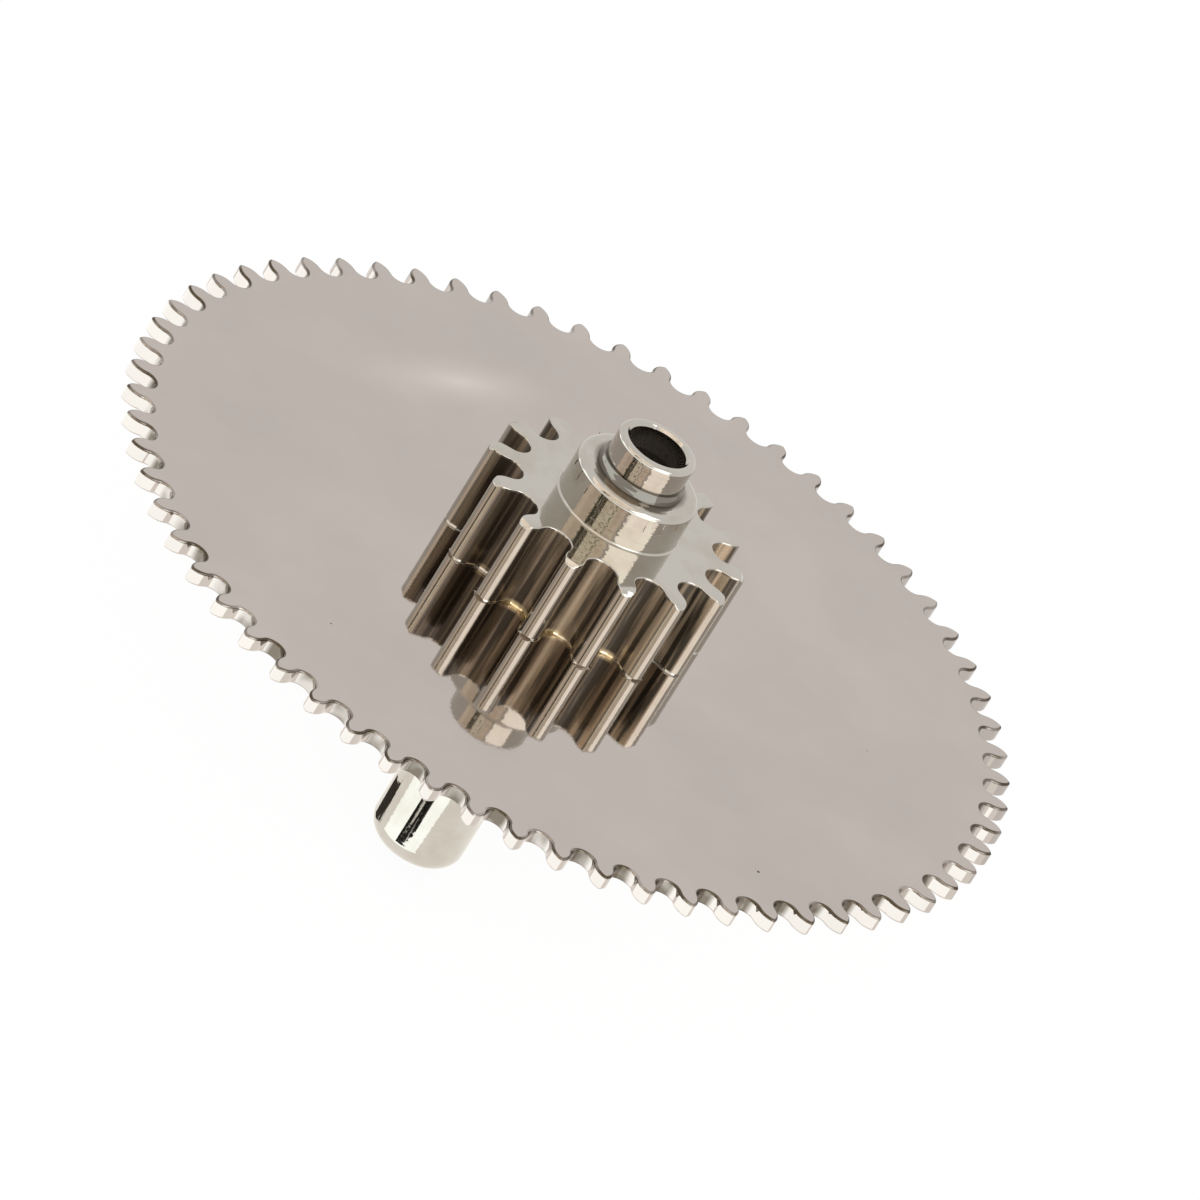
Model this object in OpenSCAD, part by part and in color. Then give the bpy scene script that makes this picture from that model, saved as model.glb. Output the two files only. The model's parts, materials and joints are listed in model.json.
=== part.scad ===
// Watch center wheel: a toothed disc riveted on a hollow center pinion.
// The axis runs through the origin, which is the centre of the disc's upper face.
// The part lies as it comes to rest, leaning on two teeth and on the arbor's rounded end.

/* [Wheel] */
// Diameter over the tooth tips
wheel_tip_d = 7.0; // [6:0.1:8]
// Number of teeth
wheel_teeth = 64; // [60:1:68]
// Thickness of the disc
wheel_thickness = 0.12; // [0.08:0.01:0.2]
// Height of a tooth from the gap floor to its tip
tooth_depth = 0.21; // [0.18:0.01:0.26]
// Height of the rounded part of a tooth, above the pitch circle
tooth_addendum = 0.12; // [0.08:0.01:0.14]
// Thickness of a tooth at the pitch circle
tooth_width = 0.15; // [0.12:0.005:0.19]
// Pointedness of a tooth's head, from 1 for a half ellipse towards 2 for a sharp tip
tooth_point = 1.4; // [1:0.1:1.8]

/* [Pinion leaves] */
// Diameter over the leaf tips
leaf_tip_d = 2.04; // [1.9:0.02:2.2]
// Number of leaves
leaf_count = 14; // [12:1:16]
// Height of a leaf from the gap floor to its tip
leaf_depth = 0.27; // [0.22:0.01:0.32]
// Height of the rounded part of a leaf, above the pitch circle
leaf_addendum = 0.12; // [0.08:0.01:0.15]
// Thickness of a leaf at the pitch circle
leaf_width = 0.148; // [0.12:0.004:0.18]
// Length of the leaves along the axis
leaf_length = 0.70; // [0.5:0.05:1]
// Chamfer turned on both ends of the leaves
leaf_chamfer = 0.035; // [0.01:0.005:0.06]
// Angle of the first leaf, in degrees
leaf_phase = 21.9; // [0:0.1:25.7]

/* [Upper pivot] */
// Diameter of the upper journal
upper_journal_d = 0.94; // [0.84:0.02:1.1]
// Length of the upper journal
upper_journal_length = 0.33; // [0.2:0.01:0.5]
// Rounding of the upper journal's edge
upper_journal_round = 0.05; // [0.02:0.01:0.08]
// Diameter of the low tapered step at the tube's foot
tube_step_d = 0.67; // [0.65:0.01:0.74]
// Taper of that step, as the loss of radius over its height
tube_step_taper = 0.015; // [0.005:0.005:0.02]
// Height of the low step at the tube's foot
tube_step_height = 0.07; // [0.04:0.01:0.1]
// Diameter of the tube above the journal
tube_d = 0.60; // [0.56:0.01:0.6]
// Height of the tube above the journal
tube_height = 0.28; // [0.2:0.01:0.4]
// Rounding of the tube's rim
tube_round = 0.03; // [0.01:0.01:0.04]

/* [Seat and rivet] */
// Diameter of the seat that passes through the disc
seat_d = 1.36; // [1.26:0.02:1.4]
// Gap between the disc's hole and the seat
seat_gap = 0; // [0:0.001:0.01]
// Diameter of the rivet edge spread under the disc
rivet_d = 1.48; // [1.44:0.02:1.6]
// Height of the rivet edge
rivet_height = 0.05; // [0.03:0.01:0.1]

/* [Lower arbor] */
// Diameter of the lower journal
lower_journal_d = 1.04; // [0.9:0.02:1.2]
// Length of the lower journal, below the rivet
lower_journal_length = 0.58; // [0.4:0.02:0.8]
// Diameter of the arbor
arbor_d = 0.72; // [0.66:0.02:0.8]
// Reach of the arbor's end below the disc's upper face
arbor_reach = 2.48; // [2.2:0.02:2.8]
// Rounding of the arbor's end
arbor_round = 0.16; // [0.1:0.01:0.2]
// Depth of the groove that a friction-tight sleeve snaps into
groove_depth = 0.03; // [0.01:0.005:0.05]
// Width of that groove
groove_width = 0.20; // [0.1:0.02:0.3]
// Distance from the arbor's end to the middle of that groove
groove_from_end = 1.1; // [0.9:0.02:1.2]

/* [Bore] */
// Diameter of the bore along the whole axis
bore_d = 0.45; // [0.4:0.01:0.48]
// Chamfer of the bore's upper edge
bore_chamfer = 0.02; // [0.005:0.005:0.025]

/* [Hidden] */
$fn = 96;
tip_steps = 5;
floor_steps = 8;
round_steps = 6;
cut_past = 0.1;
leaf_point = 1;
flank_share = 0.1;

wheel_tip_r = wheel_tip_d / 2;
leaf_tip_r = leaf_tip_d / 2;
upper_journal_r = upper_journal_d / 2;
tube_step_r = tube_step_d / 2;
tube_r = tube_d / 2;
seat_r = seat_d / 2;
rivet_r = rivet_d / 2;
lower_journal_r = lower_journal_d / 2;
arbor_r = arbor_d / 2;
bore_r = bore_d / 2;

// Levels along the axis, up from the disc's upper face
leaf_top = leaf_length;
upper_journal_top = leaf_top + upper_journal_length;
tube_step_top = upper_journal_top + tube_step_height;
tube_top = upper_journal_top + tube_height;
disc_under = -wheel_thickness;
rivet_under = disc_under - rivet_height;
lower_journal_under = rivet_under - lower_journal_length;
arbor_end = -arbor_reach;
groove_middle = arbor_end + groove_from_end;

// Lean at rest: the line from two tooth tips that is tangent to the arbor's rounded end
rest_reach = wheel_tip_r * cos(180 / wheel_teeth) - (arbor_r - arbor_round);
rest_drop = (arbor_reach - arbor_round) - wheel_thickness;
lean = atan2(rest_drop, rest_reach) + asin(arbor_round / norm([rest_reach, rest_drop]));

wheel_color = [0.75, 0.71, 0.69];
steel_color = [0.56, 0.54, 0.51];

// Point at a radius and an angle
function polar(r, angle) = [r * cos(angle), r * sin(angle)];

// Points along a circular arc, both ends included
function arc(centre, r, from, to, steps) =
    [for (i = [0 : steps]) centre + polar(r, from + (to - from) * i / steps)];

// Half of the angle that a tooth takes at the pitch circle
function half_tooth(width, pitch_r) = width / pitch_r * 90 / PI;

// Round gap floor: a half ellipse of height and angle, tangent to the radial flanks
function gap_floor(middle, half_gap, root_r, height) =
    [for (i = [0 : floor_steps])
        let (turn = i * 180 / floor_steps)
        polar(root_r + height * (1 - sin(turn)), middle - half_gap * cos(turn))];

// Rounded tooth head over the pitch circle, tangent to the radial flanks
function tooth_head(middle, half, pitch_r, addendum, point) =
    [for (i = [0 : 2 * tip_steps])
        let (turn = i * 90 / tip_steps, aside = sign(cos(turn)) * pow(abs(cos(turn)), point))
        polar(pitch_r + addendum * sin(turn), middle - half * aside)];

// Closed outline of a toothed wheel with radial flanks, round floors and rounded heads
function toothed_outline(count, tip_r, depth, addendum, width, point, phase) =
    let (
        pitch_r = tip_r - addendum,
        root_r = tip_r - depth,
        half = half_tooth(width, pitch_r),
        half_gap = 180 / count - half,
        floor_height = min((1 - flank_share) * (pitch_r - root_r), root_r * half_gap * PI / 180)
    )
    [for (k = [0 : count - 1])
        let (middle = phase + k * 360 / count)
        each concat(
            gap_floor(middle - 180 / count, half_gap, root_r, floor_height),
            tooth_head(middle, half, pitch_r, addendum, point)
        )];

// Puts the axis at its lean, with the touching teeth towards +X
module at_rest() {
    rotate([0, lean, 0]) children();
}

// Disc with cut teeth and a hole for the pinion's seat
module wheel() {
    tooth_beside_gap = 180 / wheel_teeth;
    color(wheel_color) at_rest() difference() {
        translate([0, 0, disc_under])
            linear_extrude(wheel_thickness)
                polygon(toothed_outline(wheel_teeth, wheel_tip_r, tooth_depth, tooth_addendum,
                                        tooth_width, tooth_point, tooth_beside_gap));
        translate([0, 0, disc_under - cut_past])
            cylinder(h = wheel_thickness + 2 * cut_past, r = seat_r + seat_gap);
    }
}

// Cut leaves, with the chamfers of the turned blank at both ends
module leaves() {
    intersection() {
        linear_extrude(leaf_length)
            polygon(toothed_outline(leaf_count, leaf_tip_r, leaf_depth, leaf_addendum,
                                    leaf_width, leaf_point, leaf_phase));
        rotate_extrude()
            polygon([
                [0, 0],
                [leaf_tip_r - leaf_chamfer, 0],
                [leaf_tip_r, leaf_chamfer],
                [leaf_tip_r, leaf_length - leaf_chamfer],
                [leaf_tip_r - leaf_chamfer, leaf_length],
                [0, leaf_length]
            ]);
    }
}

// Turned section from the leaves up to the tube's rim
module upper_section() {
    rotate_extrude()
        polygon(concat(
            [[0, leaf_top - cut_past], [upper_journal_r, leaf_top - cut_past]],
            arc([upper_journal_r - upper_journal_round, upper_journal_top - upper_journal_round],
                upper_journal_round, 0, 90, round_steps),
            [[tube_step_r, upper_journal_top], [tube_step_r - tube_step_taper, tube_step_top]],
            [[tube_r, tube_step_top]],
            arc([tube_r - tube_round, tube_top - tube_round], tube_round, 0, 90, round_steps),
            [[0, tube_top]]
        ));
}

// Turned section from the seat in the disc down to the arbor's rounded end
module lower_section() {
    groove_r = arbor_r - groove_depth;
    groove_top = groove_middle + groove_width / 2;
    groove_under = groove_middle - groove_width / 2;
    rotate_extrude()
        polygon(concat(
            [[0, arbor_end]],
            arc([arbor_r - arbor_round, arbor_end + arbor_round], arbor_round, -90, 0, round_steps),
            [[arbor_r, groove_under], [groove_r, groove_middle], [arbor_r, groove_top]],
            [[arbor_r, lower_journal_under], [lower_journal_r, lower_journal_under]],
            [[lower_journal_r, rivet_under], [rivet_r, rivet_under], [rivet_r, disc_under]],
            [[seat_r, disc_under], [seat_r, cut_past], [0, cut_past]]
        ));
}

// Hollow center pinion, turned, cut and drilled from one piece of steel
module center_pinion() {
    color(steel_color) at_rest() difference() {
        union() {
            leaves();
            upper_section();
            lower_section();
        }
        rotate_extrude()
            polygon([
                [0, arbor_end - cut_past],
                [bore_r, arbor_end - cut_past],
                [bore_r, tube_top - bore_chamfer],
                [bore_r + bore_chamfer + cut_past, tube_top + cut_past],
                [0, tube_top + cut_past]
            ]);
    }
}

wheel();
center_pinion();
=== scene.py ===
"""Watch center wheel: a toothed, nickel-plated disc riveted on a hollow steel pinion.

It lies on a pale floor, on two of its teeth and on the rounded end of its arbor.
"""

import json
import math

import bpy
import numpy as np
from mathutils import Matrix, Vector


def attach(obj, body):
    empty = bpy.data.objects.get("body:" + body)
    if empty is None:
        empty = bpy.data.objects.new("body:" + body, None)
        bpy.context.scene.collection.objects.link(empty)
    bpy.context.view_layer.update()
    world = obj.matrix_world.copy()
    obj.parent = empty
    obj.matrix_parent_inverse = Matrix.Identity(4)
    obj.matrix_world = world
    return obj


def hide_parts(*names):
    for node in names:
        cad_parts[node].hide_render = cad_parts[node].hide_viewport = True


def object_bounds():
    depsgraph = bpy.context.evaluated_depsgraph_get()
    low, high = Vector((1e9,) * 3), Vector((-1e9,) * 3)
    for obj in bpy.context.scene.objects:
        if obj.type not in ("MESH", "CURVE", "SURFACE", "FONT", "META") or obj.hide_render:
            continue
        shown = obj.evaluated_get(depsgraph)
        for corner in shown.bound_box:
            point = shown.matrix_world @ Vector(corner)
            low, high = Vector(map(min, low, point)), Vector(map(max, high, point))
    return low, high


bl_info = {
    "name": "Watch Center Wheel",
    "version": (1, 0, 0),
    "blender": (4, 5, 0),
    "location": "View3D > Sidebar > Center Wheel",
    "description": "Builds the toothed disc and the hollow center pinion of a watch on their packed frame",
    "category": "Object",
}

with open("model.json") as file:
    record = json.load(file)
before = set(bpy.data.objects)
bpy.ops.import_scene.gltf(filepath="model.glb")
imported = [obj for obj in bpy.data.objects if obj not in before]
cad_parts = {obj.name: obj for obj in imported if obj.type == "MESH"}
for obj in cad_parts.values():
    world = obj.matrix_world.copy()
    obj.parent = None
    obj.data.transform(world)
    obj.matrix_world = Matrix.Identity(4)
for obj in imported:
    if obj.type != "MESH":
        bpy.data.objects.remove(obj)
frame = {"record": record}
CAD_BOX = [list(corner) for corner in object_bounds()]
MM = 0.001
PICTURE_SIDE = 1200
SENSOR_WIDTH = 36.0

# Share of a tooth's height below the pitch circle that stays a straight flank
FLANK_SHARE = 0.1
# Steps along a gap floor, a flank and a head
TOOTH_STEPS = (12, 2, 14)
LEAF_STEPS = (16, 4, 16)
# Pointedness of a leaf's head, which is a half ellipse
LEAF_POINT = 1.0
# Distance from the gap floors in to the last turned row
DISC_RING_INSET = 0.05 * MM
LEAF_RING_INSET = 0.015 * MM
# Each part of a unit normal on a chamfer of 45 degrees
DIAGONAL = math.sqrt(0.5)

# The arbor's axis, the direction towards the teeth that touch the floor, and the disc's level diameter
BORE_MOUNT = next(m for m in frame["record"]["mounts"] if m["name"] == "center_bore")
AXIS = np.array(BORE_MOUNT["axis"])
TOWARDS_FLOOR = np.array((AXIS[2], 0.0, -AXIS[0]))
LEVEL = np.array((0.0, 1.0, 0.0))
LEAN = math.atan2(AXIS[0], AXIS[2])


def length(name, description, millimetres):
    """A length property, given in millimetres and kept in metres."""
    return bpy.props.FloatProperty(
        name=name, description=description, default=millimetres * MM, min=0.0, precision=6, unit="LENGTH")


def angle(name, description, degrees):
    """An angle property, given in degrees and kept in radians."""
    return bpy.props.FloatProperty(
        name=name, description=description, default=math.radians(degrees), precision=3, unit="ROTATION")


def colour(name, description, value):
    """A linear colour property."""
    return bpy.props.FloatVectorProperty(
        name=name, description=description, default=value, min=0.0, max=1.0, size=3, subtype="COLOR")


def number(name, description, value):
    """A plain number property."""
    return bpy.props.FloatProperty(name=name, description=description, default=value, precision=3)


class DiscSizes(bpy.types.PropertyGroup):
    """Sizes of the toothed disc."""

    teeth: bpy.props.IntProperty(name="Teeth", description="Number of teeth", default=64, min=12)
    tip_radius: length("Tip radius", "Radius over the tooth tips", 3.5)
    thickness: length("Thickness", "Thickness of the disc", 0.12)
    tooth_depth: length("Tooth depth", "Height of a tooth from gap floor to tip", 0.21)
    addendum: length("Addendum", "Height of the rounded tooth head above the pitch circle", 0.12)
    tooth_width: length("Tooth width", "Thickness of a tooth at the pitch circle", 0.15)
    tooth_point: number("Tooth point", "Pointedness of a tooth head: 1 for an ellipse, 2 for a tip", 1.4)
    edge_round: length("Edge rounding", "Polished rounding of the tooth edges", 0.018)


class PinionSizes(bpy.types.PropertyGroup):
    """Sizes of the hollow center pinion, with levels measured from the disc's upper face."""

    leaves: bpy.props.IntProperty(name="Leaves", description="Number of leaves", default=14, min=6)
    leaf_tip_radius: length("Leaf tip radius", "Radius over the leaf tips", 1.02)
    leaf_depth: length("Leaf depth", "Height of a leaf from gap floor to tip", 0.27)
    leaf_addendum: length("Leaf addendum", "Height of the rounded leaf head above the pitch circle", 0.12)
    leaf_width: length("Leaf width", "Thickness of a leaf at the pitch circle", 0.148)
    leaf_length: length("Leaf length", "Length of the leaves along the axis", 0.70)
    leaf_chamfer: length("Leaf chamfer", "Chamfer turned on the upper end of the leaves", 0.035)
    leaf_foot_chamfer: length("Leaf foot chamfer", "Visible chamfer of the leaves above the disc", 0.020)
    leaf_edge_round: length("Leaf edge rounding", "Polished rounding of the leaf ends", 0.010)
    foot_fillet: length("Foot fillet", "Fillet at the foot of the journal and of the leaves", 0.018)
    leaf_phase: angle("Leaf phase", "Angle of the first leaf", 21.9)
    bore_radius: length("Bore radius", "Radius of the bore along the whole axis", 0.225)
    bore_chamfer: length("Bore chamfer", "Chamfer of the bore's upper edge", 0.02)
    journal_radius: length("Upper journal radius", "Radius of the upper journal", 0.47)
    journal_length: length("Upper journal length", "Length of the upper journal", 0.33)
    journal_round: length("Upper journal rounding", "Rounding of the upper journal's edge", 0.05)
    step_radius: length("Step radius", "Foot radius of the tapered step below the tube", 0.335)
    step_height: length("Step height", "Height of the tapered step", 0.07)
    step_taper: length("Step taper", "Loss of radius over the step's height", 0.015)
    tube_radius: length("Tube radius", "Outer radius of the short tube", 0.30)
    tube_height: length("Tube height", "Height of the tube above the journal", 0.28)
    tube_round: length("Tube rounding", "Rounding of the tube's rim", 0.03)
    seat_radius: length("Seat radius", "Radius of the seat through the disc", 0.68)
    rivet_radius: length("Rivet radius", "Radius of the rivet edge under the disc", 0.74)
    rivet_height: length("Rivet height", "Height of the rivet edge", 0.05)
    lower_radius: length("Lower journal radius", "Radius of the lower journal", 0.52)
    lower_length: length("Lower journal length", "Length of the lower journal", 0.58)
    arbor_radius: length("Arbor radius", "Radius of the long arbor", 0.36)
    arbor_reach: length("Arbor reach", "Reach of the arbor's end below the disc's upper face", 2.48)
    arbor_round: length("Arbor rounding", "Rounding of the arbor's end", 0.16)
    groove_depth: length("Groove depth", "Depth of the groove for the friction-tight sleeve", 0.03)
    groove_width: length("Groove width", "Width of that groove", 0.20)
    groove_from_end: length("Groove place", "Distance from the arbor's end to the groove's middle", 1.1)
    small_round: length("Small rounding", "Rounding of the turned shoulders", 0.012)


class Finishes(bpy.types.PropertyGroup):
    """Colours of the two metals, with the painted shade and painted glints on them."""

    nickel: colour("Nickel", "Bright nickel plate", (0.478, 0.428, 0.390))
    # The speck colour is also the painted shade that thins to one side on the leaf flanks
    speck_and_flank_shade: colour("Speck", "Tiny dark specks on the plate", (0.060, 0.042, 0.028))
    steel: colour("Steel", "Polished steel", (0.500, 0.470, 0.420))
    steel_tarnish: colour("Tarnish", "Slight brown tint of the steel", (0.300, 0.235, 0.160))
    # The dark streak colour is also painted shade deep in the leaf gaps and round the step's foot
    dark_streak_and_shade: colour("Dark flank", "Dark streaks on the cut flanks of the leaves", (0.054, 0.043, 0.030))
    flank_light: colour("Light flank", "Light streaks on the cut flanks of the leaves", (0.54, 0.42, 0.29))
    # Painted highlight: golden glints where the leaf gaps meet the disc
    painted_glint_gold: colour("Golden seam", "Golden stain where the leaf gaps meet the disc", (0.84, 0.69, 0.43))
    # Painted shade: dark brown on the upper tooth edges and gap floors
    painted_edge_shade_colour: colour("Dark edge", "Brown edges and gap floors of the teeth", (0.090, 0.070, 0.048))


class StageSettings(bpy.types.PropertyGroup):
    """Camera and floor."""

    azimuth: angle("Azimuth", "Camera angle round the part", -41.691)
    elevation: angle("Elevation", "Camera angle above the floor", 58.384)
    roll: angle("Roll", "Slight turn of the camera about its view line", 1.893)
    distance: length("Distance", "Camera distance from the part", 122.0)
    picture_scale: number("Picture scale", "Picture elements per millimetre at the part", 142.362)
    aim_right: number("Aim right", "Aim point to the right of the origin, in millimetres", 0.1947)
    aim_up: number("Aim up", "Aim point above the origin, in millimetres", -0.1084)
    floor_colour: colour("Floor", "Pale floor", (0.93, 0.93, 0.93))


class CenterWheelSettings(bpy.types.PropertyGroup):
    """All settings of the watch center wheel."""

    disc: bpy.props.PointerProperty(name="Disc", description="Disc sizes", type=DiscSizes)
    pinion: bpy.props.PointerProperty(name="Pinion", description="Pinion sizes", type=PinionSizes)
    finishes: bpy.props.PointerProperty(name="Finishes", description="Metal colours", type=Finishes)
    stage: bpy.props.PointerProperty(name="Stage", description="Camera and floor", type=StageSettings)


def toothed_outline(count, tip_radius, depth, addendum, width, point, phase, steps):
    """Closed outline of a cut wheel, as one dictionary of arrays over all its points.

    One pitch has a round gap floor, a radial flank, a rounded head and a second radial flank, all in
    polar form. With t from 0 to pi, the floor is radius = root + height times (1 - sin t),
    angle = gap middle - half gap times cos t. The head is radius = pitch radius + addendum times sin t,
    angle = tooth middle - half tooth times cos t, where cos t is raised to the point exponent and keeps
    its sign. A normal is the tangent (dr, r da) turned to (r da, -dr). The spoke angles spread the points
    of a tooth evenly, so that lines from an inner circle never cross a gap.
    """
    floor_steps, flank_steps, head_steps = steps
    pitch = 2 * math.pi / count
    pitch_radius = tip_radius - addendum
    root = tip_radius - depth
    half_tooth = width / pitch_radius / 2
    half_gap = pitch / 2 - half_tooth
    height = min((1 - FLANK_SHARE) * (pitch_radius - root), root * half_gap)

    turn = np.linspace(0.0, math.pi, floor_steps + 1)
    floor_r = root + height * (1 - np.sin(turn))
    floor_angle = -half_gap * np.cos(turn)
    floor_out = floor_r * half_gap * np.sin(turn)
    floor_side = height * np.cos(turn)
    floor_norm = np.hypot(floor_out, floor_side)
    flank_r = np.linspace(root + height, pitch_radius, flank_steps + 1)[1:-1]
    head = np.linspace(0.0, math.pi, head_steps + 1)
    aside = np.sign(np.cos(head)) * np.abs(np.cos(head)) ** point
    head_r = pitch_radius + addendum * np.sin(head)
    head_out = head_r * half_tooth * point * np.sin(head)
    head_side = -addendum * np.sign(np.cos(head)) * np.abs(np.cos(head)) ** (2 - point)
    head_norm = np.hypot(head_out, head_side)
    flat = np.zeros_like(flank_r)

    radius = np.concatenate((floor_r, flank_r, head_r, flank_r[::-1]))
    turned_to = np.concatenate((floor_angle, flat + half_gap, pitch / 2 - half_tooth * aside,
                                flat + pitch - half_gap))
    out = np.concatenate((floor_out / floor_norm, flat, head_out / head_norm, flat))
    side = np.concatenate((floor_side / floor_norm, flat - 1, head_side / head_norm, flat + 1))
    on_tooth = len(radius) - len(turn)
    even = half_gap + 2 * half_tooth * np.arange(1, on_tooth + 1) / (on_tooth + 1)
    spoke = np.concatenate((floor_angle, even))

    start = (phase - pitch / 2 + pitch * np.arange(count))[:, None]
    around = (start + turned_to).ravel()
    radius = np.tile(radius, count)
    out = np.tile(out, count)
    side = np.tile(side, count)
    return {
        "x": radius * np.cos(around),
        "y": radius * np.sin(around),
        "nx": out * np.cos(around) - side * np.sin(around),
        "ny": out * np.sin(around) + side * np.cos(around),
        "spoke": (start + spoke).ravel(),
    }


def band(reach, level, out, up, on_outline=0.0, cone=np.inf, cone_up=0.0):
    """Rows of a surface: on the outline or turned, reach, level, normal out, normal up, cone, cone's tilt.

    A turned row is a circle of radius reach. A row on the outline is the outline moved inwards by reach,
    and no point of it lies further out than the cone radius. Rows of one band share smooth normals, and
    two bands meet at a sharp line.
    """
    parts = np.broadcast_arrays(on_outline, reach, level, out, up, cone, cone_up)
    return np.stack([np.atleast_1d(part).astype(float) for part in parts], axis=1)


def corner(centre_reach, centre_level, radius, start, end, steps=6):
    """Band of a turned rounding: a circle about a centre in the section, between two normal angles."""
    turn = np.radians(np.linspace(start, end, steps + 1))
    out = np.cos(turn)
    up = np.sin(turn)
    return band(centre_reach + radius * out, centre_level + radius * up, out, up)


def carried_surface(outline, bands):
    """Points and normals of a closed surface whose bands of rows run round the outline.

    The last row of each band is the first row of the next one, and the last band ends where the first
    begins. A point is x towards the floor + y along the level diameter + level along the axis. Where the
    cone cuts a row, its points slide radially on to the cone and take the cone's normal.
    """
    rows = np.concatenate([part[:-1] for part in bands])
    far = np.concatenate([part[1:] for part in bands])

    def points(given):
        on, reach, level, _, _, cone, _ = (given[:, i, None] for i in range(7))
        ring = on > 0.5
        x = np.where(ring, outline["x"] - outline["nx"] * reach, np.cos(outline["spoke"]) * reach)
        y = np.where(ring, outline["y"] - outline["ny"] * reach, np.sin(outline["spoke"]) * reach)
        shrink = np.minimum(1.0, cone / np.hypot(x, y))
        x = x * shrink
        y = y * shrink
        return x[..., None] * TOWARDS_FLOOR + y[..., None] * LEVEL + (level + 0 * x)[..., None] * AXIS

    def normals(given):
        on, reach, _, out, up, cone, cone_up = (given[:, i, None] for i in range(7))
        ring = on > 0.5
        x = np.where(ring, outline["nx"], np.cos(outline["spoke"]))
        y = np.where(ring, outline["ny"], np.sin(outline["spoke"]))
        inset_x = outline["x"] - outline["nx"] * reach
        inset_y = outline["y"] - outline["ny"] * reach
        inset_r = np.hypot(inset_x, inset_y)
        cut = ring & (inset_r > cone) & (cone_up != 0)
        x = np.where(cut, inset_x / inset_r, x)
        y = np.where(cut, inset_y / inset_r, y)
        out = np.where(cut, DIAGONAL, out)
        up = np.where(cut, cone_up, up)
        return (x * out)[..., None] * TOWARDS_FLOOR + (y * out)[..., None] * LEVEL + up[..., None] * AXIS

    return points(rows), normals(rows), normals(far)


def ring_mesh(name, points, near_normals, far_normals):
    """Mesh of a grid closed in both directions: each face joins two rows and two columns."""
    count, columns = points.shape[:2]
    row = np.arange(count)[:, None]
    column = np.arange(columns)[None, :]
    below = (row + 1) % count
    beside = (column + 1) % columns
    faces = np.stack((row * columns + column, below * columns + column,
                      below * columns + beside, row * columns + beside), axis=-1)
    corner_normals = np.stack((near_normals, far_normals, np.roll(far_normals, -1, axis=1),
                               np.roll(near_normals, -1, axis=1)), axis=2)
    total = count * columns
    mesh = bpy.data.meshes.new(name)
    mesh.vertices.add(total)
    mesh.vertices.foreach_set("co", points.ravel())
    mesh.loops.add(4 * total)
    mesh.loops.foreach_set("vertex_index", faces.ravel())
    mesh.polygons.add(total)
    mesh.polygons.foreach_set("loop_start", 4 * np.arange(total))
    mesh.update(calc_edges=True)
    mesh.polygons.foreach_set("use_smooth", np.ones(total, dtype=bool))
    mesh.normals_split_custom_set(corner_normals.reshape(-1, 3))
    if mesh.validate():
        raise RuntimeError(f"{name} has faces that are not valid")
    return mesh


def mark_rows(mesh, name, bands, marked, columns):
    """Attribute that is 1 on the inner rows of a run of bands, and 0 on its ends and on all other rows."""
    rows = [np.full(len(part) - 1, float(place in marked)) for place, part in enumerate(bands)]
    rows[marked[0]][0] = 0.0
    values = np.repeat(np.concatenate(rows), columns)
    mesh.attributes.new(name, "FLOAT", "POINT").data.foreach_set("value", values)


def add_piece(mesh, node, material):
    """Puts a mesh in the scene as the piece that stands for a node of the frame."""
    piece = bpy.data.objects.new(mesh.name, mesh)
    bpy.context.scene.collection.objects.link(piece)
    mesh.materials.append(material)
    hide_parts(node)
    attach(piece, "root")
    return piece


def disc_bands(s):
    """Bands of the disc: upper face, rounded edge, tooth wall, rounded edge, under face and hole."""
    p = bpy.context.scene.center_wheel.pinion
    hole = p.seat_radius
    ring = s.tip_radius - s.tooth_depth - DISC_RING_INSET
    edge = s.edge_round
    under = -s.thickness
    turn = np.radians(np.linspace(0.0, 90.0, 6))
    rings = np.linspace(hole, ring, 5)
    upper = np.concatenate((band(rings, 0.0, 0.0, 1.0), band(edge, 0.0, 0.0, 1.0, on_outline=1.0)))
    lower = np.concatenate((band(edge, under, 0.0, -1.0, on_outline=1.0),
                            band(rings[::-1], under, 0.0, -1.0)))
    inset = edge * (1 - np.sin(turn))
    drop = edge * (1 - np.cos(turn))
    return [
        upper,
        band(inset, -drop, np.sin(turn), np.cos(turn), on_outline=1.0),
        band(0.0, np.array((-edge, under + edge)), 1.0, 0.0, on_outline=1.0),
        band(inset[::-1], under + drop[::-1], np.sin(turn)[::-1], -np.cos(turn)[::-1], on_outline=1.0),
        lower,
        band(hole, np.array((under, 0.0)), -1.0, 0.0),
    ]


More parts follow.
